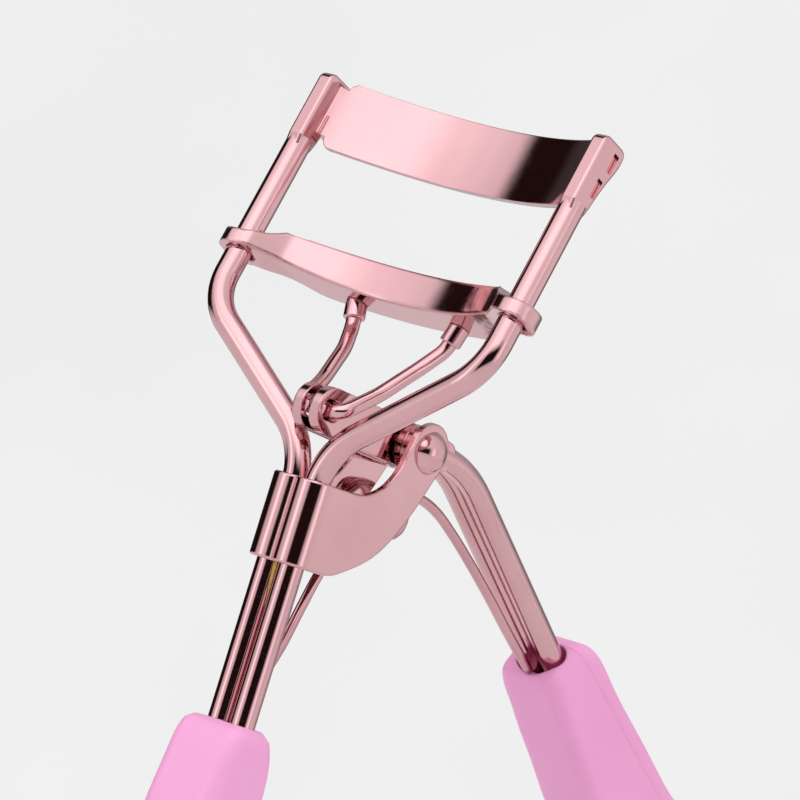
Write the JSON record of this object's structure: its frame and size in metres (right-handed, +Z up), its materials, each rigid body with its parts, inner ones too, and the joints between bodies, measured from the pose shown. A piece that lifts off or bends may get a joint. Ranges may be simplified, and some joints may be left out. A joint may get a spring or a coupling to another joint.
{
  "type": "eyelash curler",
  "caption": "Scissor-style eyelash curler: bent-wire frame with a fixed upper jaw, a sliding lower jaw on two guide rods, a sprung lever handle and two ring grips.",
  "frame": {"origin": "centre of the bounding box of the whole object with the handles open", "axes": "+Z up along the fixed stems towards the jaws, +X along the jaws to the object's right, +Y from the fixed stems towards the moving handle; the left and right halves mirror across X=0"},
  "size_m": [0.037, 0.1072, 0.119],
  "materials": {
    "braze": "bare brazing alloy",
    "plated_wire": "electroplated rose gold, mirror bright",
    "plated_sheet": "electroplated rose gold, mirror bright",
    "plated_rivet": "electroplated rose gold, mirror bright",
    "spring_wire": "electroplated rose gold, mirror bright",
    "grip": "moulded plastic, soft sheen",
    "cushion": "soft silicone, matt"
  },
  "bodies": {
    "frame": {"guide_rod_left": "plated_wire", "guide_rod_right": "plated_wire", "braze_seam": "braze", "hinge_bracket": "plated_sheet", "pivot_rivet": "plated_rivet", "upper_jaw": "plated_sheet", "grip_front": "grip", "return_spring": "spring_wire"},
    "handle": {"lever_wire_left": "plated_wire", "lever_wire_right": "plated_wire", "grip_rear": "grip"},
    "jaw": {"lower_jaw": "plated_sheet", "silicone_pad": "cushion", "push_fork": "plated_wire", "fork_ferrules": "plated_sheet"}
  },
  "joints": [
    {"name": "handle_pivot", "type": "hinge", "parent": "frame", "child": "handle", "pos_m": [0, -0.02853, 0.02741], "axis": [-1, 0, 0], "range_deg": [0, 38.3], "stiffness_Nm_per_rad": 0.15, "springref_deg": -6.88, "deforming": ["return_spring"]},
    {"name": "jaw_slide", "type": "slide", "parent": "frame", "child": "jaw", "axis": [0, 0.303, 0.953], "range_m": [0, 0.00918]}
  ],
  "couplings": [
    {"joint": "jaw_slide", "follows": "handle_pivot", "m_per_rad": 0.013709}
  ]
}
